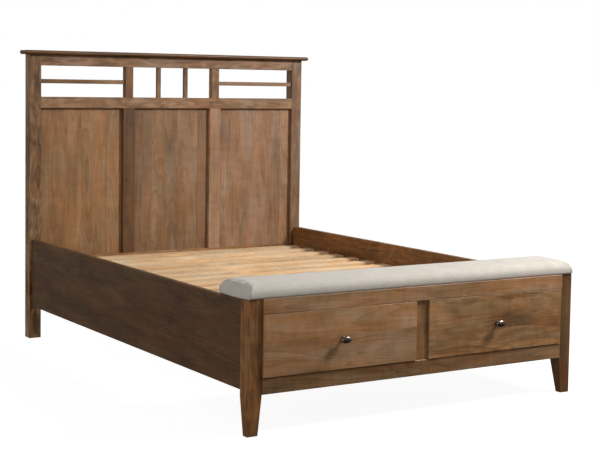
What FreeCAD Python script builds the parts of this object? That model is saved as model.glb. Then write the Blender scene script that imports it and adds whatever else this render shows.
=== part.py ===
"""Queen bed with a panelled headboard and a bench footboard that holds two drawers.

Frame: +Z up, the footboard and its drawers face -Y, X = 0 is the bed's middle plane.
The origin is the bottom centre of the whole bed's box.  All sizes are in millimetres.
"""
import FreeCAD, Part
import Sketcher

import os
from types import SimpleNamespace

DIMENSIONS = {
    # whole bed
    "overall_width": 1650,            # outside to outside of the posts
    "frame_length": 2285,             # front of the foot posts to front of the head posts
    "headboard_height": 1500,
    "bench_height": 530,              # top of the foot posts, under the cushion
    "bench_depth": 245,               # front of the foot posts to the mattress
    "board_ease": 1.2,                # chamfer along the edges of every board
    # headboard
    "head_post_width": 62,
    "head_post_depth": 66,
    "crown_thickness": 21,
    "crown_overhang": 28,             # at the front and both ends
    "crown_back": 4,                  # at the back
    "gallery_top": 1422,              # the open band under the crown
    "gallery_bottom": 1260,
    "panel_top": 1202,
    "panel_bottom": 420,
    "bottom_rail_height": 90,
    "headboard_frame_setback": 2,     # rails and stiles behind the posts' front face
    "headboard_frame_thickness": 38,
    "panel_recess": 20,
    "panel_thickness": 10,
    "upper_stile_inner": 240,
    "upper_stile_width": 45,
    "lower_stile_inner": 228,
    "lower_stile_width": 69,
    "gallery_slat_inner": 71,
    "gallery_slat_size": 22,
    "gallery_slat_depth": 20,
    "gallery_bar_bottom": 1330,
    "housing_depth": 8,               # how far slats and panels sit in their grooves
    "tenon_length": 22,
    "stub_tenon_length": 12,
    "tenon_thickness": 12,
    "tenon_shoulder": 8,
    # side rails and mattress support
    "rail_inset": 12,                 # rail face behind the posts' outer face
    "rail_thickness": 25,
    "rail_bottom": 169,
    "rail_top": 516,
    "slat_thickness": 18,
    "slat_width": 70,
    "slat_top": 410,
    "slat_end_gap": 3,
    "slat_first_gap": 8,
    "ledger_width": 30,
    "ledger_height": 40,
    "beam_width": 70,
    "beam_height": 45,
    "leg_size": 45,
    "leg_spacing": 750,
    "leg_offset": 125,                # mid point of the two legs, towards the headboard
    "glide_radius": 15,
    "glide_height": 10,
    "glide_stem_radius": 4,
    "glide_stem_length": 25,
    # knock-down hardware
    "plate_width": 16,
    "plate_height": 130,
    "plate_thickness": 3,
    "hook_thickness": 4,
    "hook_height": 18,
    "hook_reach": 10,
    "hook_lip": 7,
    "hook_pitch": 60,
    "hook_clearance": 0.5,
    "pocket_depth": 14,
    "screw_radius": 2,
    "screw_head_radius": 4,
    "screw_head_depth": 2.4,
    "screw_length": 32,
    "plate_screw_offset": 57,
    # bench footboard
    "foot_post_width": 63,
    "foot_post_depth": 61,
    "taper_top": 159,
    "taper_inside": 17,
    "taper_back": 28,
    "foot_frame_back": 26,            # back of the rails and the stile, behind the posts' front face
    "centre_stile_setback": 1,        # face of the stile behind the posts' front face
    "top_rail_proud": 8,              # face of the rail in front of the posts' front face
    "bottom_rail_proud": 4,
    "opening_bottom": 222,
    "opening_top": 470,
    "centre_stile_width": 60,
    "deck_thickness": 14,
    "stop_thickness": 20,
    "bay_depth": 480,
    "bay_board_bottom": 190,
    "partition_thickness": 19,
    "bay_rail_thickness": 20,
    "cushion_height": 60,
    "cushion_overhang_side": 7,
    "cushion_overhang_front": 12,      # in front of the posts
    "cushion_round": 18,
    "soft_gap": 0.3,
    # drawers
    "drawer_gap": 2,
    "drawer_top_gap": 1.5,
    "drawer_proud": 8,                # face of the drawers in front of the posts' front face
    "drawer_front_thickness": 22,
    "drawer_front_round": 1.5,
    "runner_space": 13,
    "runner_length": 450,
    "drawer_side_thickness": 12,
    "drawer_side_bottom": 232,
    "drawer_side_height": 110,
    "drawer_length": 450,
    "drawer_back_inset": 10,
    "drawer_bottom_rise": 8,
    "drawer_bottom_thickness": 6,
    "channel_thickness": 1.2,
    "slide_outer_depth": 10.5,        # the members of a slide, measured from the bay wall
    "slide_outer_half_height": 22.5,
    "slide_middle_near": 2,
    "slide_middle_far": 11.3,
    "slide_middle_half_height": 19.3,
    "slide_inner_near": 4,
    "slide_inner_half_height": 15,
    "knob_reach": 34,                 # knob tip in front of the drawer front
    "knob_base_radius": 11,
    "knob_base_thickness": 2.5,
    "knob_neck_radius": 5,
    "knob_neck_start": 6,
    "knob_neck_end": 13,
    "knob_head_width": 51,
    "knob_head_height": 29,
    "knob_head_depth": 20,
    "knob_screw_depth": 10,
}
SLAT_COUNT = 14
LEDGER_SCREWS = 6

doc = FreeCAD.newDocument("BenchBed")
sheet = doc.addObject("Spreadsheet::Sheet", "Dimensions")
for row, (alias, millimetres) in enumerate(DIMENSIONS.items(), 1):
    sheet.set(f"A{row}", alias)
    sheet.set(f"B{row}", str(millimetres))
    sheet.setAlias(f"B{row}", alias)
doc.recompute()


class Size:
    """A length together with the sheet formula that gives it."""

    def __init__(self, value, text=None):
        self.value = value
        self.text = str(value) if text is None else text

    def combine(self, other, symbol, value):
        return Size(value, f"({self.text} {symbol} {size_of(other).text})")

    def __add__(self, other):
        return self.combine(other, "+", self.value + size_of(other).value)

    def __sub__(self, other):
        return self.combine(other, "-", self.value - size_of(other).value)

    def __mul__(self, other):
        return self.combine(other, "*", self.value * size_of(other).value)

    def __truediv__(self, other):
        return self.combine(other, "/", self.value / size_of(other).value)

    def __neg__(self):
        return self * -1


def size_of(thing):
    return thing if isinstance(thing, Size) else Size(thing)


d = SimpleNamespace(**{name: Size(value, f"Dimensions.{name}") for name, value in DIMENSIONS.items()})
ZERO = Size(0)

# ------------------------------------------------------------------ planes that many pieces share
HALF_WIDTH = d.overall_width / 2
FRONT = (d.drawer_proud + d.knob_reach - d.frame_length - d.head_post_depth - d.crown_back) / 2
HEAD = FRONT + d.frame_length
STOP = FRONT + d.bench_depth
HEAD_POST_INNER = HALF_WIDTH - d.head_post_width
FOOT_POST_INNER = HALF_WIDTH - d.foot_post_width
FOOT_POST_BACK = FRONT + d.foot_post_depth
RAIL_OUTER = HALF_WIDTH - d.rail_inset
RAIL_INNER = RAIL_OUTER - d.rail_thickness
CROWN_BOTTOM = d.headboard_height - d.crown_thickness
SLAT_BOTTOM = d.slat_top - d.slat_thickness
BEAM_BOTTOM = SLAT_BOTTOM - d.beam_height
SIDES = (("left", -1), ("right", 1))

nodes = []


# ------------------------------------------------------------------ making solids
def between(first, second):
    """The two ends of an interval, lower one first."""
    return (first, second) if first.value <= second.value else (second, first)


def place(thing, corner):
    """Bind a placement's base to three sizes."""
    for axis, size in zip("xyz", corner):
        thing.setExpression(f"Placement.Base.{axis}", size_of(size).text)


def block(name, x, y, z, kind="Part::Box", owner=doc):
    """A rectangular block that fills three intervals."""
    box = owner.addObject(kind, name) if owner is doc else owner.newObject(kind, name)
    for prop, (low, high) in zip(("Length", "Width", "Height"), (x, y, z)):
        box.setExpression(prop, (size_of(high) - low).text)
    return box


def plain_block(name, x, y, z):
    """A Part::Box in place."""
    box = block(name, x, y, z)
    place(box, (x[0], y[0], z[0]))
    return box


def eased_body(name, x, y, z, wanted, feature="PartDesign::Chamfer", prop="Size", ease=d.board_ease):
    """A PartDesign block whose edges picked by wanted(edge) are chamfered or filleted."""
    body = doc.addObject("PartDesign::Body", name)
    place(body, (x[0], y[0], z[0]))
    box = block(name + "_block", x, y, z, "PartDesign::AdditiveBox", body)
    doc.recompute()
    edges = [f"Edge{number}" for number, edge in enumerate(box.Shape.Edges, 1) if wanted(edge)]
    dressing = body.newObject(feature, name + "_edges")
    dressing.Base = (box, edges)
    dressing.setExpression(prop, ease.text)
    return body


def board(name, x, y, z):
    """A board whose long edges, those along its grain, are eased."""
    spans = [high.value - low.value for low, high in (x, y, z)]
    grain = spans.index(max(spans))

    def along_grain(edge):
        return abs(edge.tangentAt(edge.FirstParameter)[grain]) > 0.99

    return eased_body(name, x, y, z, along_grain)


def sketch_outline(body, plane_role, path):
    """A closed sketch in the body's own plane.

    Each step of the path is an (across, up) point reached by a line, or
    (across, up, mid_across, mid_up) for an arc through a mid point, with its radius last where
    that fixes the arc.
    """
    plane = next(f for f in body.Origin.OriginFeatures if f.Role == plane_role)
    sketch = body.newObject("Sketcher::SketchObject", body.Name + "_outline")
    sketch.AttachmentSupport = [(plane, "")]
    sketch.MapMode = "FlatFace"
    points = [FreeCAD.Vector(size_of(step[0]).value, size_of(step[1]).value, 0) for step in path]
    reversed_arcs = {}
    for index, step in enumerate(path):
        start = points[index - 1]
        if len(step) == 2:
            sketch.addGeometry(Part.LineSegment(start, points[index]), False)
            continue
        middle = FreeCAD.Vector(size_of(step[2]).value, size_of(step[3]).value, 0)
        arc = Part.Arc(start, middle, points[index])
        sketch.addGeometry(arc, False)
        reversed_arcs[index] = (middle - start).cross(points[index] - start).z < 0

    def end_of(index, which):
        """Sketcher's vertex number for an edge's start (1) or end (2) along the path."""
        return 3 - which if reversed_arcs.get(index) else which

    constrain = sketch.addConstraint
    for index, step in enumerate(path):
        following = (index + 1) % len(path)
        end = (index, end_of(index, 2))
        constrain(Sketcher.Constraint("Coincident", *end, following, end_of(following, 1)))
        for kind, axis, size in (("DistanceX", -2, size_of(step[0])), ("DistanceY", -1, size_of(step[1]))):
            if abs(size.value) < 1e-9:
                constrain(Sketcher.Constraint("PointOnObject", *end, axis))
                continue
            number = constrain(Sketcher.Constraint(kind, -1, 1, *end, size.value))
            sketch.setExpression(f"Constraints[{number}]", size.text)
        if len(step) == 5:
            number = constrain(Sketcher.Constraint("Radius", index, size_of(step[4]).value))
            sketch.setExpression(f"Constraints[{number}]", size_of(step[4]).text)
    return sketch


def prism(name, plane_role, path, length, corner):
    """A PartDesign body: an outline padded along +X, +Y or +Z."""
    body = doc.addObject("PartDesign::Body", name)
    place(body, corner)
    pad = body.newObject("PartDesign::Pad", name + "_pad")
    pad.Profile = sketch_outline(body, plane_role, path)
    pad.setExpression("Length", length.text)
    pad.Reversed = plane_role == "XZ_Plane"
    return body


def gather(kind, name, prop, things):
    """A Part object that takes a list of shapes: MultiFuse, MultiCommon or Compound."""
    group = doc.addObject(kind, name)
    setattr(group, prop, things)
    return group


def fuse(name, *things):
    fused = gather("Part::MultiFuse", name, "Shapes", list(things))
    fused.Refine = True
    return fused


def common(name, *things):
    return gather("Part::MultiCommon", name, "Shapes", list(things))


def compound(name, things):
    return gather("Part::Compound", name, "Links", list(things))


def cut(name, base, tools):
    """The base with room made for its mates."""
    result = doc.addObject("Part::Cut", name)
    result.Base = base
    result.Tool = compound(name + "_mates", tools)
    return result


def node(thing):
    """Mark a finished piece for export."""
    nodes.append(thing)
    return thing


def rod(name, radius, length, point, axis, end_radius=None):
    """A cylinder, or a cone when end_radius is given, from a point along an axis."""
    kind = "Part::Cylinder" if end_radius is None else "Part::Cone"
    thing = doc.addObject(kind, name)
    thing.Placement.Rotation = FreeCAD.Rotation(FreeCAD.Vector(0, 0, 1), FreeCAD.Vector(*axis))
    if end_radius is None:
        thing.setExpression("Radius", radius.text)
    else:
        thing.setExpression("Radius1", radius.text)
        thing.setExpression("Radius2", end_radius.text)
    thing.setExpression("Height", length.text)
    place(thing, point)
    return thing


def wood_screw(name, point, axis):
    """A countersunk screw whose head is flush at the point."""
    head = rod(name + "_head", d.screw_head_radius, d.screw_head_depth, point, axis, d.screw_radius)
    shank = rod(name + "_shank", d.screw_radius, d.screw_length, point, axis)
    return fuse(name, head, shank)


# ------------------------------------------------------------------ knock-down hardware and screws
def corner_hardware(side, sign, end, joint, towards_post):
    """Hook plate, slotted plate, post pocket and screws where one side rail meets one post."""
    name = f"{end}_{side}"
    middle_x = (RAIL_INNER + RAIL_OUTER) / 2 * sign
    middle_z = (d.rail_bottom + d.rail_top) / 2
    x = (middle_x - d.plate_width / 2, middle_x + d.plate_width / 2)
    z = (middle_z - d.plate_height / 2, middle_z + d.plate_height / 2)
    in_rail = between(joint - d.plate_thickness * towards_post, joint)
    in_post = between(joint, joint + d.plate_thickness * towards_post)
    hook_x = (middle_x - d.hook_thickness / 2, middle_x + d.hook_thickness / 2)
    slot_x = (hook_x[0] - d.hook_clearance, hook_x[1] + d.hook_clearance)
    hooks, slots, pockets = [], [], []
    for number, shift in enumerate((-1, 1)):
        base_z = middle_z + d.hook_pitch / 2 * shift - d.hook_height / 2
        top_z = base_z + d.hook_height
        lip_z = base_z - d.hook_lip
        tip = joint + d.hook_reach * towards_post
        lip_start = joint + (d.plate_thickness + d.hook_clearance) * towards_post
        pocket_end = joint + d.pocket_depth * towards_post
        tag = f"{name}_{number}"
        hooks.append(plain_block(f"hook_{tag}", hook_x, between(joint, tip), (base_z, top_z)))
        hooks.append(plain_block(f"lip_{tag}", hook_x, between(lip_start, tip), (lip_z, base_z)))
        room = (lip_z - d.hook_clearance, top_z + d.hook_lip)
        slots.append(plain_block(f"slot_{tag}", slot_x, in_post, room))
        pockets.append(plain_block(f"pocket_{tag}", slot_x, between(joint, pocket_end), room))
    screws = []
    for shift in (-1, 1):
        for direction in (-1, 1):
            point = (middle_x, joint, middle_z + d.plate_screw_offset * shift)
            label = f"plate_screw_{name}_{shift + 1}{direction + 1}"
            screws.append(wood_screw(label, point, (0, direction, 0)))
    hook_plate = fuse(f"hook_plate_{name}_body", plain_block(f"hook_plate_{name}", x, in_rail, z), *hooks)
    slot_plate = plain_block(f"slot_plate_{name}", x, in_post, z)
    return SimpleNamespace(
        hook_plate=cut(f"hook_plate_{name}_drilled", hook_plate, screws),
        slot_plate=cut(f"slot_plate_{name}_drilled", slot_plate, slots + screws),
        blank=plain_block(f"plate_recess_{name}", x, in_post, z),
        pockets=pockets,
        screws=screws,
    )


def ledger_screws(side, sign):
    """Screws through a slat ledger into its side rail."""
    screws = []
    run = HEAD - STOP
    for number in range(LEDGER_SCREWS):
        y = STOP + run * ((number + 0.5) / LEDGER_SCREWS)
        point = ((RAIL_INNER - d.ledger_width) * sign, y, SLAT_BOTTOM - d.ledger_height / 2)
        screws.append(wood_screw(f"ledger_screw_{side}_{number}", point, (sign, 0, 0)))
    return screws


corners = {}
for side, sign in SIDES:
    corners["head", side] = corner_hardware(side, sign, "head", HEAD, 1)
    corners["foot", side] = corner_hardware(side, sign, "foot", FOOT_POST_BACK, -1)
side_screws = {side: ledger_screws(side, sign) for side, sign in SIDES}
node(compound("rail_hook_plates", [corner.hook_plate for corner in corners.values()]))
node(compound("post_slot_plates", [corner.slot_plate for corner in corners.values()]))
all_screws = [screw for corner in corners.values() for screw in corner.screws]
node(compound("hardware_screws", all_screws + side_screws["left"] + side_screws["right"]))


# ------------------------------------------------------------------ headboard
FRAME_FRONT = HEAD + d.headboard_frame_setback
FRAME_Y = (FRAME_FRONT, FRAME_FRONT + d.headboard_frame_thickness)
FRAME_MIDDLE = FRAME_FRONT + d.headboard_frame_thickness / 2
TENON_Y = (FRAME_MIDDLE - d.tenon_thickness / 2, FRAME_MIDDLE + d.tenon_thickness / 2)
PANEL_FRONT = FRAME_FRONT + d.panel_recess
PANEL_Y = (PANEL_FRONT, PANEL_FRONT + d.panel_thickness)
GALLERY_Y = (FRAME_MIDDLE - d.gallery_slat_depth / 2, FRAME_MIDDLE + d.gallery_slat_depth / 2)
UPPER_OUTER = d.upper_stile_inner + d.upper_stile_width
LOWER_OUTER = d.lower_stile_inner + d.lower_stile_width


def headboard_panel(name, x):
    """A flat panel held in grooves on all four edges."""
    held = (x[0] - d.housing_depth, x[1] + d.housing_depth)
    z = (d.panel_bottom - d.housing_depth, d.panel_top + d.housing_depth)
    return node(plain_block(name, held, PANEL_Y, z))


def headboard_upright(name, sign, inner, width, bottom, top, mates):
    """A stile between two rails, with a stub tenon at each end."""
    x = between(inner * sign, (inner + width) * sign)
    tenon_x = (x[0] + d.tenon_shoulder, x[1] - d.tenon_shoulder)
    tenon_z = (bottom - d.stub_tenon_length, top + d.stub_tenon_length)
    shaft = board(name + "_shaft", x, FRAME_Y, (bottom, top))
    tenons = plain_block(name + "_tenons", tenon_x, TENON_Y, tenon_z)
    return node(cut(name, fuse(name + "_blank", shaft, tenons), mates))


def headboard_rail(name, bottom, top, mates):
    """A cross rail with a tenon into each post."""
    long = board(name + "_rail", (-HEAD_POST_INNER, HEAD_POST_INNER), FRAME_Y, (bottom, top))
    reach = HEAD_POST_INNER + d.tenon_length
    tenon_z = (bottom + d.tenon_shoulder, top - d.tenon_shoulder)
    tenons = plain_block(name + "_tenons", (-reach, reach), TENON_Y, tenon_z)
    return node(cut(name, fuse(name + "_blank", long, tenons), mates))


panels = {
    "left": headboard_panel("headboard_panel_left", (-HEAD_POST_INNER, -LOWER_OUTER)),
    "centre": headboard_panel("headboard_panel_centre", (-d.lower_stile_inner, d.lower_stile_inner)),
    "right": headboard_panel("headboard_panel_right", (LOWER_OUTER, HEAD_POST_INNER)),
}
gallery_slats, gallery_bars, upper_stiles, lower_stiles = {}, {}, {}, {}
for side, sign in SIDES:
    slat_x = between(d.gallery_slat_inner * sign, (d.gallery_slat_inner + d.gallery_slat_size) * sign)
    slat_z = (d.gallery_bottom - d.housing_depth, d.gallery_top + d.housing_depth)
    gallery_slats[side] = node(board(f"headboard_vertical_slat_{side}", slat_x, GALLERY_Y, slat_z))
    bar_x = between((UPPER_OUTER - d.housing_depth) * sign, (HEAD_POST_INNER + d.housing_depth) * sign)
    bar_z = (d.gallery_bar_bottom, d.gallery_bar_bottom + d.gallery_slat_size)
    gallery_bars[side] = node(board(f"headboard_horizontal_slat_{side}", bar_x, GALLERY_Y, bar_z))
    upper_stiles[side] = headboard_upright(
        f"headboard_upper_stile_{side}", sign, d.upper_stile_inner, d.upper_stile_width,
        d.gallery_bottom, d.gallery_top, [gallery_bars[side]])
    lower_stiles[side] = headboard_upright(
        f"headboard_lower_stile_{side}", sign, d.lower_stile_inner, d.lower_stile_width,
        d.panel_bottom, d.panel_top, [panels[side], panels["centre"]])

BEAM_Y = (STOP, FRAME_FRONT + d.stub_tenon_length)
beam = node(board("centre_beam", (-d.beam_width / 2, d.beam_width / 2), BEAM_Y, (BEAM_BOTTOM, SLAT_BOTTOM)))

gallery_uprights = list(gallery_slats.values()) + list(upper_stiles.values())
panel_mates = list(panels.values()) + list(lower_stiles.values())
headboard_rails = [
    headboard_rail("headboard_top_rail", d.gallery_top, CROWN_BOTTOM, gallery_uprights),
    headboard_rail("headboard_mid_rail", d.panel_top, d.gallery_bottom, gallery_uprights + panel_mates),
    headboard_rail("headboard_bottom_rail", d.panel_bottom - d.bottom_rail_height, d.panel_bottom,
                   panel_mates + [beam]),
]
for side, sign in SIDES:
    post_x = between(HEAD_POST_INNER * sign, HALF_WIDTH * sign)
    post_y = (HEAD, HEAD + d.head_post_depth)
    corner = corners["head", side]
    mates = headboard_rails + [gallery_bars[side], panels[side], corner.blank]
    blank = board(f"headboard_post_{side}_blank", post_x, post_y, (ZERO, CROWN_BOTTOM))
    node(cut(f"headboard_post_{side}", blank, mates + corner.pockets + corner.screws))


def crown():
    """The cap board, with a full round nose along the front and both ends."""
    high = d.crown_thickness
    nose = high / 2
    depth = d.crown_overhang + d.head_post_depth + d.crown_back
    width = d.overall_width + d.crown_overhang * 2
    round_nose = [(nose, high), (nose, ZERO, ZERO, nose)]
    section = round_nose + [(depth, ZERO), (depth, high)]
    elevation = round_nose + [(width - nose, ZERO), (width - nose, high, width, nose)]
    corner = (-width / 2, HEAD - d.crown_overhang, CROWN_BOTTOM)
    along = prism("crown_section", "YZ_Plane", section, width, corner)
    ends = prism("crown_elevation", "XZ_Plane", elevation, depth, corner)
    return common("headboard_crown", along, ends)


node(crown())

# ------------------------------------------------------------------ side rails and mattress support
LEDGER_Y = (STOP, HEAD)
for side, sign in SIDES:
    ledger_x = between((RAIL_INNER - d.ledger_width) * sign, RAIL_INNER * sign)
    ledger_z = (SLAT_BOTTOM - d.ledger_height, SLAT_BOTTOM)
    ledger = board(f"slat_ledger_{side}_blank", ledger_x, LEDGER_Y, ledger_z)
    node(cut(f"slat_ledger_{side}", ledger, side_screws[side]))
    rail_x = between(RAIL_INNER * sign, RAIL_OUTER * sign)
    rail = board(f"side_rail_{side}_blank", rail_x, (FOOT_POST_BACK, HEAD), (d.rail_bottom, d.rail_top))
    plates = [corners[end, side].hook_plate for end in ("head", "foot")]
    plate_screws = [screw for end in ("head", "foot") for screw in corners[end, side].screws]
    node(cut(f"side_rail_{side}", rail, plates + plate_screws + side_screws[side]))

SLAT_X = (-(RAIL_INNER - d.slat_end_gap), RAIL_INNER - d.slat_end_gap)
slat_run = HEAD - STOP - d.slat_first_gap * 2 - d.slat_width
slats = []
for number in range(SLAT_COUNT):
    slat_y = STOP + d.slat_first_gap + slat_run * (number / (SLAT_COUNT - 1))
    slats.append(board(
        f"mattress_slat_{number}", SLAT_X, (slat_y, slat_y + d.slat_width), (SLAT_BOTTOM, d.slat_top)))
node(compound("mattress_slats", slats))

glides = []
for end, shift in (("foot", -1), ("head", 1)):
    centre_y = d.leg_offset + d.leg_spacing / 2 * shift
    base = rod(f"glide_{end}_pad", d.glide_radius, d.glide_height, (0, centre_y, 0), (0, 0, 1))
    stem_length = d.glide_height + d.glide_stem_length
    stem = rod(f"glide_{end}_stem", d.glide_stem_radius, stem_length, (0, centre_y, 0), (0, 0, 1))
    glide = fuse(f"glide_{end}", base, stem)
    glides.append(glide)
    half_leg = d.leg_size / 2
    leg = board(f"centre_leg_{end}_blank", (-half_leg, half_leg), (centre_y - half_leg, centre_y + half_leg),
                (d.glide_height, BEAM_BOTTOM))
    node(cut(f"centre_leg_{end}", leg, [glide]))
node(compound("leg_glides", glides))

# ------------------------------------------------------------------ bench footboard
FOOT_FRAME_BACK = FRONT + d.foot_frame_back
CENTRE_STILE_Y = (FRONT + d.centre_stile_setback, FOOT_FRAME_BACK)
FOOT_TENON_MIDDLE = (CENTRE_STILE_Y[0] + CENTRE_STILE_Y[1]) / 2
FOOT_TENON_Y = (FOOT_TENON_MIDDLE - d.tenon_thickness / 2, FOOT_TENON_MIDDLE + d.tenon_thickness / 2)
HALF_STILE = d.centre_stile_width / 2


def foot_rail(name, proud, bottom, top, mates):
    """A cross rail of the footboard, which stands proud of the posts, with a tenon into each."""
    long_y = (FRONT - proud, FOOT_FRAME_BACK)
    long = board(name + "_rail", (-FOOT_POST_INNER, FOOT_POST_INNER), long_y, (bottom, top))
    reach = FOOT_POST_INNER + d.tenon_length
    tenon_z = (bottom + d.tenon_shoulder, top - d.tenon_shoulder)
    tenons = plain_block(name + "_tenons", (-reach, reach), FOOT_TENON_Y, tenon_z)
    return node(cut(name, fuse(name + "_blank", long, tenons), mates))


def foot_post(side, sign, mates):
    """A front leg: square above the bottom rail, tapered on its inner and back faces below it."""
    width, depth, high = d.foot_post_width, d.foot_post_depth, d.bench_height
    ease = d.board_ease
    corner = (between(FOOT_POST_INNER * sign, HALF_WIDTH * sign)[0], FRONT, ZERO)
    section = [(ease, ZERO), (width - ease, ZERO), (width, ease), (width, depth - ease),
               (width - ease, depth), (ease, depth), (ZERO, depth - ease), (ZERO, ease)]
    narrow = width - d.taper_inside
    if side == "left":
        front = [(ZERO, ZERO), (narrow, ZERO), (width, d.taper_top), (width, high), (ZERO, high)]
    else:
        front = [(d.taper_inside, ZERO), (width, ZERO), (width, high), (ZERO, high), (ZERO, d.taper_top)]
    flank = [(ZERO, ZERO), (depth - d.taper_back, ZERO), (depth, d.taper_top), (depth, high), (ZERO, high)]
    name = f"footboard_post_{side}"
    blank = common(
        name + "_blank",
        prism(name + "_section", "XY_Plane", section, high, corner),
        prism(name + "_front", "XZ_Plane", front, depth, corner),
        prism(name + "_flank", "YZ_Plane", flank, width, corner))
    return node(cut(name, blank, mates))


stile_x = (-HALF_STILE, HALF_STILE)
stile_shaft = board(
    "footboard_centre_stile_shaft", stile_x, CENTRE_STILE_Y, (d.opening_bottom, d.opening_top))
stile_tenons = plain_block(
    "footboard_centre_stile_tenons",
    (stile_x[0] + d.tenon_shoulder, stile_x[1] - d.tenon_shoulder), FOOT_TENON_Y,
    (d.opening_bottom - d.stub_tenon_length, d.opening_top + d.stub_tenon_length))
centre_stile = node(fuse("footboard_centre_stile", stile_shaft, stile_tenons))
foot_rails = [
    foot_rail("footboard_bottom_rail", d.bottom_rail_proud, d.taper_top, d.opening_bottom, [centre_stile]),
    foot_rail("footboard_top_rail", d.top_rail_proud, d.opening_top, d.bench_height, [centre_stile]),
]
foot_posts = []
for side, sign in SIDES:
    corner = corners["foot", side]
    foot_posts.append(foot_post(side, sign, foot_rails + [corner.blank] + corner.pockets + corner.screws))

stop_y = (STOP - d.stop_thickness, STOP)
DECK_BOTTOM = d.bench_height - d.deck_thickness
node(board("mattress_stop", (-RAIL_INNER, RAIL_INNER), stop_y, (BEAM_BOTTOM, DECK_BOTTOM)))
deck = plain_block("bench_deck_blank", (-RAIL_OUTER, RAIL_OUTER), (FOOT_FRAME_BACK, STOP),
                   (DECK_BOTTOM, d.bench_height))
node(cut("bench_deck", deck, foot_posts))

CUSHION_BOTTOM = d.bench_height + d.soft_gap
cushion_x = HALF_WIDTH + d.cushion_overhang_side
node(eased_body(
    "bench_cushion", (-cushion_x, cushion_x), (FRONT - d.cushion_overhang_front, STOP),
    (CUSHION_BOTTOM, CUSHION_BOTTOM + d.cushion_height),
    lambda edge: edge.BoundBox.ZMax > 1, "PartDesign::Fillet", "Radius", d.cushion_round))

# ------------------------------------------------------------------ drawer bay
BAY_END = FRONT + d.bay_depth
BAY_Z = (d.bay_board_bottom, BEAM_BOTTOM)
for side, sign in SIDES:
    mount_x = between(FOOT_POST_INNER * sign, RAIL_INNER * sign)
    mount_y = (FOOT_POST_BACK, BAY_END + d.bay_rail_thickness)
    node(board(f"slide_mount_{side}", mount_x, mount_y, BAY_Z))
partition = []
for side, sign in SIDES:
    wall_x = between((HALF_STILE - d.partition_thickness) * sign, HALF_STILE * sign)
    partition.append(board(f"partition_{side}", wall_x, (FOOT_FRAME_BACK, BAY_END), BAY_Z))
node(compound("drawer_partition", partition))
node(board("bay_rear_rail", (-FOOT_POST_INNER, FOOT_POST_INNER),
           (BAY_END, BAY_END + d.bay_rail_thickness), BAY_Z))

# ------------------------------------------------------------------ drawers and their slides
DRAWER_FACE = FRONT - d.drawer_proud
BOX_FRONT = DRAWER_FACE + d.drawer_front_thickness
BOX_BACK = BOX_FRONT + d.drawer_length
SIDE_Z = (d.drawer_side_bottom, d.drawer_side_bottom + d.drawer_side_height)
BOTTOM_Z = (d.drawer_side_bottom + d.drawer_bottom_rise,
            d.drawer_side_bottom + d.drawer_bottom_rise + d.drawer_bottom_thickness)
RUNNER_Z = (SIDE_Z[0] + SIDE_Z[1]) / 2
RUNNER_Y = (BOX_FRONT + d.drawer_gap, BOX_FRONT + d.drawer_gap + d.runner_length)


def channel(name, face, direction, near, far, half_height, web_near):
    """A C-section slide member; near and far are distances from the bay wall."""
    x = between(face + near * direction, face + far * direction)
    if web_near:
        web_x = between(face + near * direction, face + (near + d.channel_thickness) * direction)
    else:
        web_x = between(face + (far - d.channel_thickness) * direction, face + far * direction)
    low, high = RUNNER_Z - half_height, RUNNER_Z + half_height
    return fuse(
        name,
        plain_block(name + "_web", web_x, RUNNER_Y, (low, high)),
        plain_block(name + "_top", x, RUNNER_Y, (high - d.channel_thickness, high)),
        plain_block(name + "_foot", x, RUNNER_Y, (low, low + d.channel_thickness)))


def slide_members(side, sign):
    """The three nested members of the two slides that carry one drawer."""
    outer, middle, inner = [], [], []
    walls = (("outer", FOOT_POST_INNER * sign, -sign), ("inner", HALF_STILE * sign, sign))
    for wall, face, direction in walls:
        tag = f"{side}_{wall}"
        outer.append(channel(f"slide_outer_{tag}", face, direction, ZERO,
                             d.slide_outer_depth, d.slide_outer_half_height, True))
        middle.append(channel(f"slide_middle_{tag}", face, direction, d.slide_middle_near,
                              d.slide_middle_far, d.slide_middle_half_height, True))
        inner.append(channel(f"slide_inner_{tag}", face, direction, d.slide_inner_near,
                             d.runner_space, d.slide_inner_half_height, False))
    return outer, middle, inner


def knob(side, centre_x, centre_z, screw):
    """An oval head on a turned stem with a small round base."""
    name = f"drawer_{side}_knob"
    head_y = d.knob_reach - d.knob_head_depth / 2
    base, neck = d.knob_base_radius, d.knob_neck_radius
    profile = [(ZERO, ZERO), (base, ZERO), (base, d.knob_base_thickness), (neck, d.knob_neck_start),
               (neck, d.knob_neck_end), (base, head_y), (ZERO, head_y)]
    body = doc.addObject("PartDesign::Body", name + "_stem")
    body.Placement.Rotation = FreeCAD.Rotation(FreeCAD.Vector(0, 0, 1), 180)
    place(body, (centre_x, DRAWER_FACE, centre_z))
    sketch = sketch_outline(body, "XY_Plane", profile)
    turned = body.newObject("PartDesign::Revolution", name + "_turning")
    turned.Profile = sketch
    turned.ReferenceAxis = (sketch, ["V_Axis"])
    turned.Angle = 360
    head = doc.addObject("Part::Ellipsoid", name + "_head")
    for prop, extent in (("Radius1", d.knob_head_height), ("Radius2", d.knob_head_width),
                         ("Radius3", d.knob_head_depth)):
        head.setExpression(prop, (extent / 2).text)
    place(head, (centre_x, DRAWER_FACE - head_y, centre_z))
    return node(cut(name, fuse(name + "_blank", body, head), [screw]))


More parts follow.
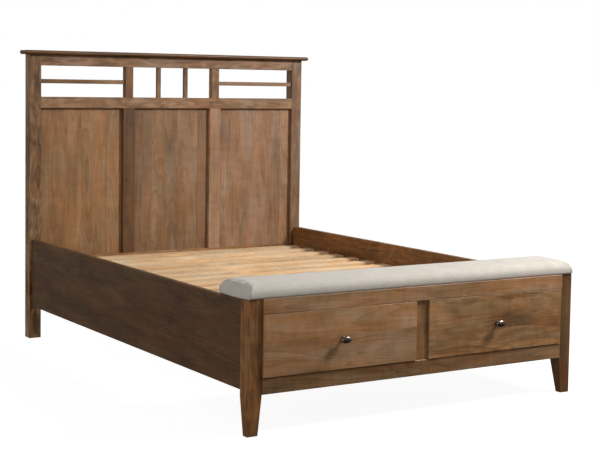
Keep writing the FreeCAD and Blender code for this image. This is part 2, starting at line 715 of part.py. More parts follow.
def drawer(side, sign):
    """One drawer: a box hung between two slides behind its front."""
    name = f"drawer_{side}"
    bay = (HALF_STILE, FOOT_POST_INNER)
    box = (bay[0] + d.runner_space, bay[1] - d.runner_space)
    inside = (box[0] + d.drawer_side_thickness, box[1] - d.drawer_side_thickness)
    held = between((inside[0] - d.housing_depth / 2) * sign, (inside[1] + d.housing_depth / 2) * sign)
    housed = BOX_FRONT - d.housing_depth
    back_y = BOX_BACK - d.drawer_back_inset
    bottom = node(plain_block(name + "_bottom", held, (housed, BOX_BACK), BOTTOM_Z))
    back = node(board(name + "_back", held, (back_y - d.drawer_side_thickness, back_y),
                      (BOTTOM_Z[1], SIDE_Z[1])))
    walls = []
    for wall, x in (("inner", (box[0], inside[0])), ("outer", (inside[1], box[1]))):
        blank = board(f"{name}_side_{wall}_blank", between(x[0] * sign, x[1] * sign),
                      (housed, BOX_BACK), SIDE_Z)
        walls.append(node(cut(f"{name}_side_{wall}", blank, [bottom, back])))

    centre_x = (bay[0] + bay[1]) / 2 * sign
    centre_z = (d.opening_bottom + d.opening_top) / 2
    head_depth = d.screw_head_depth
    screw_start = (centre_x, BOX_FRONT + head_depth, centre_z)
    shank_length = head_depth + d.drawer_front_thickness + d.knob_screw_depth
    screw = node(fuse(
        name + "_knob_screw",
        rod(name + "_screw_head", d.screw_head_radius, head_depth, screw_start, (0, -1, 0)),
        rod(name + "_screw_shank", d.screw_radius, shank_length, screw_start, (0, -1, 0))))
    knob(side, centre_x, centre_z, screw)

    front_x = between((bay[0] + d.drawer_gap) * sign, (bay[1] - d.drawer_gap) * sign)
    front_z = (d.opening_bottom + d.drawer_gap, d.opening_top - d.drawer_top_gap)
    blank = eased_body(
        name + "_front_blank", front_x, (DRAWER_FACE, BOX_FRONT), front_z,
        lambda edge: edge.BoundBox.YMax < 1, "PartDesign::Fillet", "Radius", d.drawer_front_round)
    node(cut(name + "_front", blank, walls + [bottom, screw]))

    outer, middle, inner = slide_members(side, sign)
    node(compound(name + "_runner_middle", middle))
    node(compound(name + "_runner_inner", inner))
    return outer


outer_members = []
for side, sign in SIDES:
    outer_members += drawer(side, sign)
node(compound("runner_outer_members", outer_members))

# ------------------------------------------------------------------ checks and export
doc.recompute()
failed = [thing.Name for thing in doc.Objects if {"Invalid", "Error"} & set(thing.State)]
if failed:
    raise RuntimeError(f"these objects failed: {failed}")
for piece in nodes:
    if piece.Shape.isNull() or not piece.Shape.isValid() or piece.Shape.Volume <= 0:
        raise RuntimeError(f"{piece.Label} has no valid shape")

os.makedirs("parts", exist_ok=True)
for piece in nodes:
    piece.Shape.exportStep(f"parts/{piece.Label}.step")
    print(f"{piece.Label}: {len(piece.Shape.Solids)} solid(s), {piece.Shape.Volume / 1000:.1f} cm3")
print(len(nodes), "nodes")
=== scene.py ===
"""The looks of the bench bed frame: its woods and hardware, the upholstered bench top and the studio.

Every length is in metres, in the frame of the CAD model: +Z up, the foot of the bed towards -Y.
"""

import math
import random

import bmesh
import bpy
from mathutils import Matrix, Vector


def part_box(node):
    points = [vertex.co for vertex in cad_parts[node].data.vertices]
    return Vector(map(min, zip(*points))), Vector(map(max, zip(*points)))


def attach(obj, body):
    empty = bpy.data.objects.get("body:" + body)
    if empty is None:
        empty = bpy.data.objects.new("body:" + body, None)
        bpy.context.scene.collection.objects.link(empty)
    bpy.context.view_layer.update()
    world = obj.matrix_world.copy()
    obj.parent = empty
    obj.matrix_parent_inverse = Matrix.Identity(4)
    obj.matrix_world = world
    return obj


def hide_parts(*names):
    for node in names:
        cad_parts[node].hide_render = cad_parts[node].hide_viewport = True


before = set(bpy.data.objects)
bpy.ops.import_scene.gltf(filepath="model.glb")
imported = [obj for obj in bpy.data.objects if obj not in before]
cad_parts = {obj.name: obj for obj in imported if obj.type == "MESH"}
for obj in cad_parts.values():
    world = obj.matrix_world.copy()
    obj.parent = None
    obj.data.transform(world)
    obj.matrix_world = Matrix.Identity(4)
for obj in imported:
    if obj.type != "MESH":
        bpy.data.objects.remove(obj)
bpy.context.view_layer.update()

MM = 0.001


# ---------------------------------------------------------------- node trees


class Tree:
    """A node tree being built. Each method adds one node and returns the socket that it ends in."""

    def __init__(self, tree):
        self.tree = tree

    def node(self, kind, inputs=None, **settings):
        made = self.tree.nodes.new(kind)
        for name, value in settings.items():
            setattr(made, name, value)
        for key, value in (inputs or {}).items():
            self.feed(made.inputs[key], value)
        return made

    def feed(self, socket, value):
        if isinstance(value, bpy.types.NodeSocket):
            self.tree.links.new(value, socket)
        else:
            socket.default_value = value

    def math(self, operation, *values):
        return self.node("ShaderNodeMath", dict(enumerate(values)), operation=operation).outputs[0]

    def vector(self, operation, *values):
        return self.node("ShaderNodeVectorMath", dict(enumerate(values)), operation=operation).outputs[0]

    def split(self, vector):
        return self.node("ShaderNodeSeparateXYZ", {0: vector}).outputs

    def join(self, x, y, z):
        return self.node("ShaderNodeCombineXYZ", {0: x, 1: y, 2: z}).outputs[0]

    def noise(self, vector, detail=2.0, distortion=0.0):
        inputs = {"Vector": vector, "Scale": 1.0, "Detail": detail, "Distortion": distortion}
        return self.node("ShaderNodeTexNoise", inputs).outputs[0]

    def spread(self, value, low, high, to_low=0.0, to_high=1.0):
        """value from low..high onto to_low..to_high, held at the ends."""
        inputs = {"Value": value, "From Min": low, "From Max": high, "To Min": to_low, "To Max": to_high}
        return self.node("ShaderNodeMapRange", inputs).outputs[0]

    def ramp(self, factor, stops, interpolation="LINEAR"):
        made = self.node("ShaderNodeValToRGB", {0: factor})
        band = made.color_ramp
        band.interpolation = interpolation
        for _ in stops[2:]:
            band.elements.new(0.5)
        for element, (place, colour) in zip(band.elements, stops):
            element.position = place
        for element, (place, colour) in zip(band.elements, stops):
            element.color = (*colour, 1.0)
        return made.outputs[0]

    def tint(self, colour, value):
        """colour with each channel times value."""
        return self.node("ShaderNodeVectorMath", {0: colour, "Scale": value}, operation="SCALE").outputs[0]

    def mix(self, factor, first, second):
        made = self.node("ShaderNodeMix", {0: factor, 6: first, 7: second}, data_type="RGBA")
        return made.outputs[2]

    def bump(self, height, strength, distance):
        inputs = {"Height": height, "Strength": strength, "Distance": distance}
        return self.node("ShaderNodeBump", inputs).outputs[0]


def grey(value):
    return (value, value, value)


def grey_stops(levels):
    """The stops of a grey ramp, from pairs of place and brightness."""
    return [(place, grey(level)) for place, level in levels]


def new_group(name, inputs, outputs):
    """A shader node group with float outputs: the group, its tree, its input and its output sockets.

    inputs gives the kind of each input socket, and outputs names the output sockets.
    """
    group = bpy.data.node_groups.new(name, "ShaderNodeTree")
    for socket, kind in inputs.items():
        group.interface.new_socket(socket, in_out="INPUT", socket_type=kind)
    for socket in outputs:
        group.interface.new_socket(socket, in_out="OUTPUT", socket_type="NodeSocketFloat")
    entry = group.nodes.new("NodeGroupInput")
    leave = group.nodes.new("NodeGroupOutput")
    return group, Tree(group), entry.outputs, leave.inputs


def new_material(name, **finish):
    """A material with a Principled shader: the material, its tree and the shader's inputs."""
    material = bpy.data.materials.new(name)
    material.use_nodes = True
    tree = Tree(material.node_tree)
    shader = material.node_tree.nodes["Principled BSDF"]
    for socket, value in finish.items():
        shader.inputs[socket.replace("_", " ")].default_value = value
    return material, tree, shader.inputs


# ---------------------------------------------------------------- wood

# Cycles per metre of each layer of the figure: along the grain, then across it.
RING_RATE = (0.8, 8.0)
BLOTCH_RATE = (2.6, 11.0)
STREAK_RATE = (5.0, 190.0)
PORE_RATE = (45.0, 1300.0)
RAY_RATE = (34.0, 12.0)
WARMTH_RATE = (3.5, 16.0)
BURL_RATE = (6.0, 22.0)
# How far each layer swings the tone from dark to light.
BLOTCH_SWING = 1.0
RING_SWING = -0.20
STREAK_SWING = 0.42
PORE_SWING = 0.14
RAY_SWING = 0.30
BURL_SWING = 2.2
# The rings: how many the slow layer folds into, and the brightness over one ring.
RINGS_PER_CYCLE = 17.0
RING_PROFILE = ((0.0, 0.0), (0.62, 0.35), (0.88, 1.0), (1.0, 0.0))
# Where the dark, middle and light colours of a palette stand on the tone.
TONE_STOPS = (0.12, 0.5, 0.88)
WARM_DRIFT = (1.10, 0.92, 0.74)


def wood_figure_group():
    """Solid wood figure. Place holds metres along the grain, across it and into the board; Burl is 0 to 1."""
    inputs = {"Place": "NodeSocketVector", "Burl": "NodeSocketFloat"}
    group, tree, entry, leave = new_group("wood_figure", inputs, ("Tone", "Relief", "Warmth"))

    def layer(rate, detail, distortion=0.0):
        stretched = tree.vector("MULTIPLY", entry["Place"], (rate[0], rate[1], rate[1]))
        return tree.noise(stretched, detail, distortion)

    slow = layer(RING_RATE, 1.5, 0.25)
    phase = tree.math("FRACT", tree.math("MULTIPLY", slow, RINGS_PER_CYCLE))
    rings = tree.ramp(phase, grey_stops(RING_PROFILE), "EASE")
    blotch = layer(BLOTCH_RATE, 3.0, 0.6)
    streak = layer(STREAK_RATE, 4.0)
    pores = layer(PORE_RATE, 2.0)
    rays = layer(RAY_RATE, 1.0, 0.4)

    def swing(part, share):
        return tree.math("MULTIPLY", tree.math("SUBTRACT", part, 0.5), share)

    tone = swing(blotch, BLOTCH_SWING)
    for part, share in ((rings, RING_SWING), (streak, STREAK_SWING), (pores, PORE_SWING), (rays, RAY_SWING)):
        tone = tree.math("ADD", tone, swing(part, share))
    burl = tree.math("MULTIPLY", swing(layer(BURL_RATE, 4.0, 1.6), BURL_SWING), entry["Burl"])
    tone = tree.math("ADD", tone, burl)
    tree.feed(leave["Tone"], tree.math("ADD", tone, 0.5))

    tree.feed(leave["Warmth"], tree.spread(layer(WARMTH_RATE, 2.0, 0.5), 0.38, 0.62))

    relief = tree.math("ADD", tree.math("MULTIPLY", streak, 0.55), tree.math("MULTIPLY", pores, 0.45))
    tree.feed(leave["Relief"], tree.math("SUBTRACT", relief, tree.math("MULTIPLY", rings, 0.12)))
    return group


WOOD_FIGURE = wood_figure_group()
GLUE_LINE = 0.5 * MM
GLUE_LINE_BRIGHTNESS = 0.45
WOOD_RELIEF = 0.5 * MM
FIGURE_SPREAD = 40.0              # metres over which the pieces pick their place in the figure
BOARD_STEP = (60.0, 37.8, 18.6)   # most that the boards of one piece lie apart in the figure


def grain_order(node):
    """The axes of a board along the grain, across it and into it: longest, middle and shortest side."""
    low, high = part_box(node)
    return sorted("XYZ", key=lambda axis: low["XYZ".index(axis)] - high["XYZ".index(axis)])


def board_ramp(tree, node, across, boards, draw):
    """Tone, shift and glue line of each board of a glued-up piece, as the channels of a stepped ramp.

    boards is a list of (share of the width, tone), from the low side of the piece.
    """
    low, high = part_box(node)
    index = "XYZ".index(across)
    width = high[index] - low[index]
    position = tree.split(tree.node("ShaderNodeTexCoord").outputs["Object"])[index]
    factor = tree.spread(position, low[index], high[index])
    stops = []
    edge = 0.0
    for share, tone in boards:
        board = (tone / 2, draw.random(), 0.0)
        if stops:
            line = (stops[-1][1][0], stops[-1][1][1], 1.0)
            stops.append((edge - GLUE_LINE / width, line))
        stops.append((edge, board))
        edge += share
    return tree.split(tree.ramp(factor, stops, "CONSTANT"))


def wood(node, slot, palette, finish, tone=1.0, boards=None, axes=None):
    """The material of one wooden piece. palette is (dark, middle, light), finish the Principled settings."""
    draw = random.Random(node)
    material, tree, shader = new_material(f"{slot}.{node}", **finish["shader"])
    grain, across, deep = axes or grain_order(node)
    place = tree.split(tree.node("ShaderNodeTexCoord").outputs["Object"])
    picked = tree.join(*(place["XYZ".index(axis)] for axis in (grain, across, deep)))
    start = tuple(draw.uniform(0, FIGURE_SPREAD) for _ in range(3))
    picked = tree.vector("ADD", picked, start)
    if boards:
        lightness, shift, line = board_ramp(tree, node, across, boards, draw)
        picked = tree.vector("ADD", picked, tree.tint(BOARD_STEP, shift))
        glue = tree.spread(line, 0.0, 1.0, 1.0, GLUE_LINE_BRIGHTNESS)
        tone = tree.math("MULTIPLY", tree.math("MULTIPLY", lightness, 2.0 * tone), glue)
    figure = tree.node("ShaderNodeGroup", node_tree=WOOD_FIGURE)
    tree.feed(figure.inputs["Place"], picked)
    figure.inputs["Burl"].default_value = BURL.get(node, 0.0)

    colour = tree.ramp(figure.outputs["Tone"], list(zip(TONE_STOPS, palette)))
    warmed = tree.vector("MULTIPLY", colour, WARM_DRIFT)
    colour = tree.mix(figure.outputs["Warmth"], colour, warmed)
    tree.feed(shader["Base Color"], tree.tint(colour, tone))
    low_gloss, high_gloss = finish["roughness"]
    tree.feed(shader["Roughness"], tree.spread(figure.outputs["Relief"], 0.3, 0.7, high_gloss, low_gloss))
    tree.feed(shader["Normal"], tree.bump(figure.outputs["Relief"], finish["bump"], WOOD_RELIEF))
    return material


# Palettes: dark, middle and light.
STAIN = ((0.110, 0.048, 0.015), (0.240, 0.126, 0.048), (0.400, 0.240, 0.118))
# A deeper, warmer stain: partly the wood's own stain, partly painted warm light on the left-facing sides of
# the posts and rails.
WARM_LIT_DEEP_STAIN = ((0.112, 0.042, 0.009), (0.244, 0.106, 0.028), (0.400, 0.204, 0.070))
CALM_STAIN = ((0.144, 0.069, 0.023), (0.240, 0.126, 0.049), (0.355, 0.211, 0.103))
PALE_STAIN = ((0.140, 0.070, 0.030), (0.240, 0.132, 0.059), (0.355, 0.221, 0.132))
FADED_STAIN = ((0.140, 0.073, 0.036), (0.240, 0.138, 0.073), (0.355, 0.226, 0.150))
STAIN_PALETTES = {
    "footboard_post_left": WARM_LIT_DEEP_STAIN,
    "footboard_post_right": WARM_LIT_DEEP_STAIN,
    "side_rail_left": WARM_LIT_DEEP_STAIN,
    "side_rail_right": WARM_LIT_DEEP_STAIN,
    "bench_deck": WARM_LIT_DEEP_STAIN,
    "headboard_crown": WARM_LIT_DEEP_STAIN,
    "headboard_lower_stile_left": WARM_LIT_DEEP_STAIN,
    "headboard_upper_stile_left": WARM_LIT_DEEP_STAIN,
    "headboard_panel_left": CALM_STAIN,
    "headboard_top_rail": PALE_STAIN,
    "headboard_mid_rail": PALE_STAIN,
    "headboard_panel_centre": PALE_STAIN,
    "headboard_panel_right": FADED_STAIN,
    "headboard_lower_stile_right": FADED_STAIN,
    "headboard_post_right": FADED_STAIN,
    "headboard_horizontal_slat_right": FADED_STAIN,
    "footboard_top_rail": PALE_STAIN,
    "drawer_left_front": PALE_STAIN,
}
BARE = ((0.420, 0.275, 0.150), (0.600, 0.430, 0.255), (0.720, 0.560, 0.380))
MAPLE = ((0.500, 0.350, 0.205), (0.690, 0.530, 0.345), (0.790, 0.650, 0.470))
BIRCH = ((0.480, 0.340, 0.200), (0.640, 0.480, 0.300), (0.740, 0.600, 0.420))

SATIN = {
    "shader": {"Coat_Weight": 0.08, "Coat_Roughness": 0.32, "Specular_IOR_Level": 0.34},
    "roughness": (0.42, 0.56),
    "bump": 0.22,
}
PLAIN = {"shader": {}, "roughness": (0.55, 0.70), "bump": 0.35}

# How light each stained piece is, against its palette.
STAIN_TONES = {
    "headboard_crown": 0.36,
    "headboard_post_left": 0.60,
    "headboard_post_right": 0.66,
    "headboard_top_rail": 0.66,
    "headboard_mid_rail": 0.76,
    "headboard_upper_stile_left": 0.42,
    "headboard_upper_stile_right": 0.75,
    "headboard_lower_stile_left": 0.32,
    "headboard_vertical_slat_left": 0.64,
    "headboard_vertical_slat_right": 0.45,
    "headboard_horizontal_slat_left": 0.56,
    "headboard_horizontal_slat_right": 0.78,
    "headboard_panel_left": 0.83,
    "headboard_panel_centre": 0.72,
    "headboard_panel_right": 0.87,
    "footboard_post_left": 0.66,
    "footboard_post_right": 0.36,
    "footboard_bottom_rail": 0.60,
    "footboard_centre_stile": 0.84,
    "mattress_stop": 0.80,
    # drawer_right_front is painted darker and drawer_left_front lighter: painted shade and painted light that
    # offset the key lamp falling off from right to left.
    "drawer_left_front": 1.05,
    "drawer_right_front": 0.80,
    # side_rail_left is this dark partly from its stain and partly as painted shade, as if bedding hung over
    # it.
    "side_rail_left": 0.28,
    "side_rail_right": 0.60,
    # The bench deck's low tone is partly painted shade under the cushion.
    "bench_deck": 0.45,
}
# The boards of the glued-up pieces, from the low side: share of the width, and tone.
STAIN_BOARDS = {
    "headboard_panel_left": ((0.33, 0.96), (0.17, 1.06), (0.14, 0.98), (0.15, 1.05), (0.21, 1.00)),
    "headboard_panel_centre": (
        (0.13, 0.84), (0.12, 0.97), (0.16, 1.08), (0.17, 0.92), (0.13, 1.05), (0.13, 1.10), (0.16, 0.90),
    ),
    "headboard_panel_right": ((0.30, 1.08), (0.17, 0.98), (0.19, 1.03), (0.19, 0.97), (0.15, 1.05)),
    "drawer_left_front": ((0.57, 0.93), (0.43, 1.10)),
    "drawer_right_front": ((0.13, 1.18), (0.87, 1.00)),
    "side_rail_left": ((0.33, 0.97), (0.35, 1.04), (0.32, 0.99)),
    "side_rail_right": ((0.36, 1.03), (0.31, 0.96), (0.33, 1.02)),
}
# How strongly burl shows in a piece, from 0 to 1.
BURL = {
    "headboard_top_rail": 1.0,
    "headboard_mid_rail": 0.8,
    "headboard_post_left": 1.0,
    "headboard_post_right": 0.5,
    "headboard_upper_stile_left": 0.6,
    "headboard_upper_stile_right": 0.6,
    "headboard_vertical_slat_left": 0.6,
    "headboard_vertical_slat_right": 0.6,
    "footboard_post_left": 0.6,
    "drawer_right_front": 0.3,
    "side_rail_right": 0.5,
}
SLAT_COUNT = 14


def slat_boards():
    """One board for each slat, with a tone of its own."""
    draw = random.Random("slats")
    return [(1 / SLAT_COUNT, draw.uniform(0.9, 1.1)) for _ in range(SLAT_COUNT)]


def finish_wood(node, slot):
    """The wood material of a CAD node, by its slot."""
    # bench_deck is plywood given the dark stain: partly its finish, partly painted shade under the cushion's
    # end.
    if slot == "stained_wood" or node == "bench_deck":
        palette = STAIN_PALETTES.get(node, STAIN)
        return wood(node, slot, palette, SATIN, STAIN_TONES.get(node, 1.0), STAIN_BOARDS.get(node))
    if node == "mattress_slats":
        return wood(node, slot, BARE, PLAIN, 1.0, slat_boards(), "XYZ")
    palette = {"frame_wood": BARE, "drawer_wood": MAPLE, "plywood": BIRCH}[slot]
    return wood(node, slot, palette, PLAIN)


# ---------------------------------------------------------------- metal and plastic

# Cycles per metre.
PATINA_RATE = 140.0
BRUSH_RATE = (90.0, 1500.0, 1500.0)
PLASTIC_GRAIN_RATE = 1800.0
PLASTIC_CLOUD_RATE = 60.0
PLASTIC_WEAR = 1.6                # how much lighter worn plastic is


def metal(name, colour, dark, roughness, scratch):
    """A metal with fine brushing along X and a cloudy, darker patina. roughness is (low, high)."""
    material, tree, shader = new_material(name, Metallic=1.0)
    place = tree.node("ShaderNodeTexCoord").outputs["Object"]
    cloud = tree.noise(tree.vector("MULTIPLY", place, grey(PATINA_RATE)), 4.0, 0.5)
    brushed = tree.noise(tree.vector("MULTIPLY", place, BRUSH_RATE), 2.0)
    tree.feed(shader["Base Color"], tree.mix(tree.spread(cloud, 0.35, 0.65), (*dark, 1.0), (*colour, 1.0)))
    tree.feed(shader["Roughness"], tree.spread(cloud, 0.3, 0.7, roughness[1], roughness[0]))
    tree.feed(shader["Normal"], tree.bump(brushed, scratch, 0.1 * MM))
    return material


def moulded_plastic(name, colour):
    """Moulded plastic with a fine spark-eroded grain."""
    material, tree, shader = new_material(name)
    place = tree.node("ShaderNodeTexCoord").outputs["Object"]
    grain = tree.noise(tree.vector("MULTIPLY", place, grey(PLASTIC_GRAIN_RATE)), 3.0)
    cloud = tree.noise(tree.vector("MULTIPLY", place, grey(PLASTIC_CLOUD_RATE)), 2.0)
    worn = tuple(PLASTIC_WEAR * channel for channel in colour)
    tree.feed(shader["Base Color"], tree.mix(tree.spread(cloud, 0.35, 0.7), (*colour, 1.0), (*worn, 1.0)))
    tree.feed(shader["Roughness"], tree.spread(grain, 0.3, 0.7, 0.45, 0.6))
    tree.feed(shader["Normal"], tree.bump(grain, 0.3, 0.2 * MM))
    return material


# ---------------------------------------------------------------- fabric

THREAD_PITCH = 1.3 * MM
THREAD_RATE = 2 * math.pi / THREAD_PITCH
SLUB_LONG = 45.0                  # cycles per metre along a slub, and across it
SLUB_FINE = 800.0
MOTTLE_RATE = 14.0
FABRIC_DARK = (0.334, 0.297, 0.244)
FABRIC_LIGHT = (0.462, 0.426, 0.371)


def linen(name):
    """Plain-woven linen: crossed threads on the three main directions, slubs, and a faint mottle."""
    material, tree, shader = new_material(name, Roughness=0.85, Sheen_Weight=0.25, Sheen_Roughness=0.5)
    place = tree.node("ShaderNodeTexCoord").outputs["Object"]
    normal = tree.split(tree.node("ShaderNodeNewGeometry").outputs["Normal"])
    threads = [tree.math("SINE", tree.math("MULTIPLY", axis, THREAD_RATE)) for axis in tree.split(place)]
    weave = 0.0
    for facing, (warp, weft) in enumerate(((1, 2), (0, 2), (0, 1))):
        weight = tree.math("MULTIPLY", normal[facing], normal[facing])
        crossed = tree.math("MULTIPLY", threads[warp], threads[weft])
        weave = tree.math("ADD", weave, tree.math("MULTIPLY", weight, crossed))
    slub_along = tree.noise(tree.vector("MULTIPLY", place, (SLUB_LONG, SLUB_FINE, SLUB_FINE)), 2.0)
    slub_across = tree.noise(tree.vector("MULTIPLY", place, (SLUB_FINE, SLUB_LONG, SLUB_LONG)), 2.0)
    slubs = tree.math("ADD", slub_along, slub_across)
    mottle = tree.noise(tree.vector("MULTIPLY", place, grey(MOTTLE_RATE)), 3.0)
    tone = tree.math("ADD", tree.math("MULTIPLY", slubs, 0.5), tree.math("MULTIPLY", weave, 0.10))
    tone = tree.math("ADD", tone, tree.math("MULTIPLY", tree.math("SUBTRACT", mottle, 0.5), 0.5))
    colour = tree.ramp(tone, [(0.2, FABRIC_DARK), (0.75, FABRIC_LIGHT)])
    tree.feed(shader["Base Color"], colour)
    height = tree.math("ADD", tree.math("MULTIPLY", weave, 0.5), slubs)
    tree.feed(shader["Normal"], tree.bump(height, 0.35, 0.35 * MM))
    return material


# ---------------------------------------------------------------- bench cushion

# The foam block: its height at the edge, the radii of its edges, and the grid that it is remeshed to.
EDGE_HEIGHT = 46 * MM
TOP_ROUND = 28 * MM
CORNER_ROUND = 9 * MM
FOOT_ROUND = 8 * MM
VOXEL = 5 * MM
# The crown along the middle, and the ends: how far in they slope, and how far they drop and lean.
CROWN_RISE = 11 * MM
CROWN_POWER = 2.4                 # higher makes the crown flatter in the middle
END_SLOPE = 45 * MM
END_DROP = 5 * MM
END_LEAN = 9 * MM
# The inflated cover: the room left for it, the band of its foot that is held, and its largest move.
SWELL_ROOM = 1 * MM
HELD_BAND = 2 * MM
SWELL_LIMIT = 4 * MM
SIM_FRAMES = 20
# How far the lower edge hangs, and how far past the frame it must be to hang in full.
DROOP = 16 * MM
DROOP_REACH = 6 * MM
SMOOTH_ROUNDS = 6


def cushion_blank(low, high):
    """The foam block of the cushion: a flat-bottomed block with round edges."""
    mesh = bmesh.new()
    bmesh.ops.create_cube(mesh, size=1.0)
    top = low.z + EDGE_HEIGHT
    size = Vector((high.x - low.x, high.y - low.y, top - low.z)) - Vector((2, 2, 0)) * SWELL_ROOM
    centre = Vector(((low.x + high.x) / 2, (low.y + high.y) / 2, (low.z + top) / 2))
    bmesh.ops.scale(mesh, vec=size, verts=mesh.verts)
    bmesh.ops.translate(mesh, vec=centre, verts=mesh.verts)

    def round_edges(choose, radius, segments):
        edges = [e for e in mesh.edges if choose(*(v.co for v in e.verts))]
        bmesh.ops.bevel(mesh, geom=edges, offset=radius, segments=segments, affect="EDGES", profile=0.5)

    round_edges(lambda a, b: abs(a.z - b.z) > EDGE_HEIGHT / 2, CORNER_ROUND, 4)
    round_edges(lambda a, b: min(a.z, b.z) > top - MM, TOP_ROUND, 8)
    round_edges(lambda a, b: max(a.z, b.z) < low.z + MM and edge_is_rim(a, b, low, high), FOOT_ROUND, 4)
    data = bpy.data.meshes.new("bench_cushion_cover")
    mesh.to_mesh(data)
    mesh.free()
    piece = bpy.data.objects.new("bench_cushion_cover", data)
    bpy.context.scene.collection.objects.link(piece)
    return piece


def edge_is_rim(a, b, low, high):
    """True for an edge on the outline of the block's underside."""
    middle = (a + b) / 2
    inset_x = min(middle.x - low.x, high.x - middle.x)
    inset_y = min(middle.y - low.y, high.y - middle.y)
    return min(inset_x, inset_y) < CORNER_ROUND


def apply_modifiers(piece):
    """Makes the piece's mesh what its modifiers show."""
    bpy.context.view_layer.update()
    shown = piece.evaluated_get(bpy.context.evaluated_depsgraph_get())
    mesh = bpy.data.meshes.new_from_object(shown)
    piece.modifiers.clear()
    piece.data = mesh


def crown(piece, low, high):
    """Raises the middle of the pad, lowers its two ends and leans them inward."""
    centre = (low + high) / 2
    half = (high - low) / 2
    for vertex in piece.data.vertices:
        lift = max(0.0, (vertex.co.z - low.z) / EDGE_HEIGHT)
        along = 1 - abs((vertex.co.y - centre.y) / half.y) ** CROWN_POWER
        to_end = min(1.0, (half.x - abs(vertex.co.x - centre.x)) / END_SLOPE)
        slope = (1 - max(0.0, to_end)) ** 2
        vertex.co.z += lift * (CROWN_RISE * max(0.0, along) * (1 - slope) - END_DROP * slope)
        vertex.co.x -= math.copysign(END_LEAN * lift * slope, vertex.co.x - centre.x)


def droop(piece, low, high):
    """Lets the lower edge hang over the rail and the post, more towards the left end."""
    rail_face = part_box("footboard_top_rail")[0].y
    post_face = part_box("footboard_post_left")[0].x
    for vertex in piece.data.vertices:
        place = vertex.co
        outside = max(rail_face - place.y, post_face - place.x)
        hung = min(1.0, max(0.0, outside / DROOP_REACH))
        lowness = max(0.0, 1 - (place.z - low.z) / EDGE_HEIGHT)
        leftward = (high.x - place.x) / (high.x - low.x)
        place.z -= DROOP * hung * lowness * leftward ** 2


def swell(piece, low):
    """Inflates the cover against its own weave with the underside held, and limits how far it moves."""
    held = piece.vertex_groups.new(name="held")
    held_top = low.z + HELD_BAND
    held.add([v.index for v in piece.data.vertices if v.co.z < held_top], 1.0, "REPLACE")
    before = [v.co.copy() for v in piece.data.vertices]
    cloth = piece.modifiers.new("cloth", "CLOTH")
    cloth.settings.vertex_group_mass = "held"
    cloth.settings.use_pressure = True
    cloth.settings.uniform_pressure_force = 4.0
    cloth.settings.effector_weights.gravity = 0.0
    cloth.settings.quality = 4
    cloth.settings.tension_stiffness = 12.0
    cloth.settings.compression_stiffness = 12.0
    cloth.settings.bending_stiffness = 2.0
    cloth.collision_settings.use_collision = False
    cloth.point_cache.frame_start = 1
    cloth.point_cache.frame_end = SIM_FRAMES
    for step in range(1, SIM_FRAMES + 1):
        bpy.context.scene.frame_set(step)
    apply_modifiers(piece)
    bpy.context.scene.frame_set(1)
    for vertex, start in zip(piece.data.vertices, before):
        moved = vertex.co - start
        if moved.length > SWELL_LIMIT:
            vertex.co = start + moved.normalized() * SWELL_LIMIT


def bench_cushion():
    """The upholstered bench top, which stands for the plain pad of the CAD model."""
    low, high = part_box("bench_cushion")
    piece = cushion_blank(low, high)
    remesh = piece.modifiers.new("remesh", "REMESH")
    remesh.mode = "VOXEL"
    remesh.voxel_size = VOXEL
    apply_modifiers(piece)
    crown(piece, low, high)
    swell(piece, low)
    droop(piece, low, high)
    smooth = piece.modifiers.new("smooth", "SMOOTH")
    smooth.factor = 0.5
    smooth.iterations = SMOOTH_ROUNDS
    apply_modifiers(piece)
    piece.data.shade_smooth()
    piece.data.materials.clear()
    piece.data.materials.append(linen("bench_linen"))
    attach(piece, "bed_frame")
    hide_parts("bench_cushion")


# ---------------------------------------------------------------- CAD pieces

PEWTER = metal("antique_metal", (0.230, 0.180, 0.145), (0.070, 0.050, 0.038), (0.24, 0.38), 0.05)
ZINC = metal("zinc_steel", (0.640, 0.630, 0.600), (0.450, 0.445, 0.430), (0.28, 0.45), 0.15)
PLASTIC = moulded_plastic("glide_plastic", (0.035, 0.034, 0.033))
SHARED = {"antique_metal": PEWTER, "zinc_steel": ZINC, "glide_plastic": PLASTIC}


def dress_frame():
    """Gives each CAD node that stays the full material of its slot."""
    for name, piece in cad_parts.items():
        slot = piece.material_slots[0].material.name.split(".")[0]
        if slot == "bench_fabric":
            continue
        finish = SHARED.get(slot) or finish_wood(name, slot)
        for holder in piece.material_slots:
            holder.material = finish


# ---------------------------------------------------------------- studio

CAMERA_PLACE = (-3.40347, -5.62863, 1.36142)
CAMERA_YAW = math.radians(-32.352)
CAMERA_DIP = math.radians(4.112)
CAMERA_ROLL = math.radians(0.915)
CAMERA_LENS = 82.332
CAMERA_SHIFT = (-0.01229, -0.0750)
KEY_AIM = Vector((0.0, -0.4, 0.6))
KEY_PLACE = Vector((2.50, -2.24, 3.20))
KEY_POWER = 228.0
KEY_SIZE = 0.9
FLOOR_SIZE = 400.0
FLOOR_GAP = 0.2 * MM
FLOOR_GLOW = 0.92
FLOOR_GREYS = (0.12, 0.15)
FLOOR_CLOUD_RATE = 3.0
# Brightness from straight down, by the horizon, to straight up.
SKY = ((0.0, 0.12), (0.465, 0.12), (0.475, 1.0), (0.58, 1.0), (0.66, 0.45), (1.0, 0.40))
# Brightness around the room, from the -Y wall by the -X, +Y and +X walls back to it.
WALLS = (
    (0.0, 0.35), (0.15, 2.2), (0.27, 2.2), (0.37, 0.6),
    (0.48, 0.5), (0.54, 1.0), (0.70, 1.0), (1.0, 0.35),
)


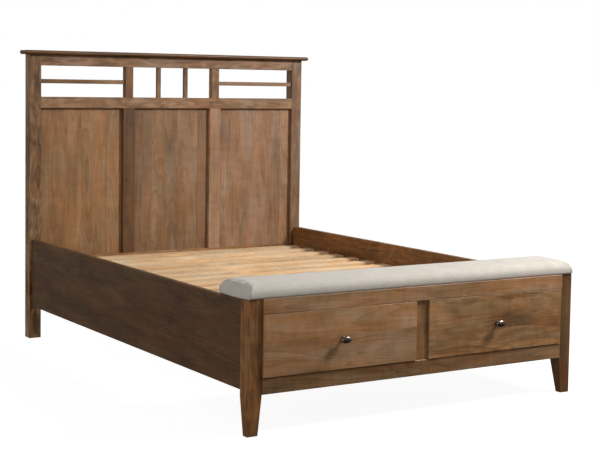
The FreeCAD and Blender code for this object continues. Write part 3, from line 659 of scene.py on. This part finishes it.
def camera():
    data = bpy.data.cameras.new("camera")
    data.lens = CAMERA_LENS
    data.sensor_width = 36.0
    data.shift_x, data.shift_y = CAMERA_SHIFT
    data.clip_end = 1000.0
    made = bpy.data.objects.new("camera", data)
    bpy.context.scene.collection.objects.link(made)
    heading = Matrix.Rotation(CAMERA_YAW, 4, "Z")
    level = Matrix.Rotation(math.pi / 2 - CAMERA_DIP, 4, "X")
    tilt = Matrix.Rotation(CAMERA_ROLL, 4, "Z")
    made.matrix_world = Matrix.Translation(CAMERA_PLACE) @ heading @ level @ tilt
    bpy.context.scene.camera = made


def key_light():
    data = bpy.data.lights.new("key", "AREA")
    data.shape = "DISK"
    data.energy = KEY_POWER
    data.size = KEY_SIZE
    made = bpy.data.objects.new("key", data)
    bpy.context.scene.collection.objects.link(made)
    made.location = KEY_PLACE
    made.rotation_euler = (KEY_PLACE - KEY_AIM).to_track_quat("Z", "Y").to_euler()


def studio_walls():
    """A white studio: walls brightest at the horizon, a softer ceiling, and a dim floor in reflections."""
    world = bpy.data.worlds.new("studio")
    world.use_nodes = True
    bpy.context.scene.world = world
    tree = Tree(world.node_tree)
    direction = tree.split(tree.node("ShaderNodeTexCoord").outputs["Generated"])
    height = tree.spread(direction[2], -1.0, 1.0)
    light = tree.ramp(height, grey_stops(SKY))
    heading = tree.math("ARCTAN2", direction[0], direction[1])
    around = tree.spread(heading, -math.pi, math.pi)
    light = tree.vector("MULTIPLY", light, tree.ramp(around, grey_stops(WALLS)))
    background = world.node_tree.nodes["Background"]
    tree.feed(background.inputs["Color"], light)
    background.inputs["Strength"].default_value = 1.0


def floor():
    """A plain pale floor, bright enough to leave only soft shadows, which lights nothing itself."""
    mesh = bmesh.new()
    bmesh.ops.create_grid(mesh, x_segments=1, y_segments=1, size=FLOOR_SIZE / 2)
    data = bpy.data.meshes.new("floor")
    mesh.to_mesh(data)
    mesh.free()
    made = bpy.data.objects.new("floor", data)
    made.location.z = -FLOOR_GAP
    bpy.context.scene.collection.objects.link(made)
    made.visible_diffuse = False
    made.visible_glossy = False
    material, tree, shader = new_material("floor_paint", Roughness=0.9, Emission_Strength=FLOOR_GLOW)
    shader["Emission Color"].default_value = (1.0, 1.0, 1.0, 1.0)
    place = tree.node("ShaderNodeTexCoord").outputs["Object"]
    cloud = tree.noise(tree.vector("MULTIPLY", place, grey(FLOOR_CLOUD_RATE)), 3.0)
    dark, light = ((*grey(level), 1.0) for level in FLOOR_GREYS)
    tree.feed(shader["Base Color"], tree.mix(cloud, dark, light))
    data.materials.append(material)


dress_frame()
bench_cushion()
studio_walls()
floor()
key_light()
camera()
bpy.context.scene.view_settings.view_transform = "Standard"
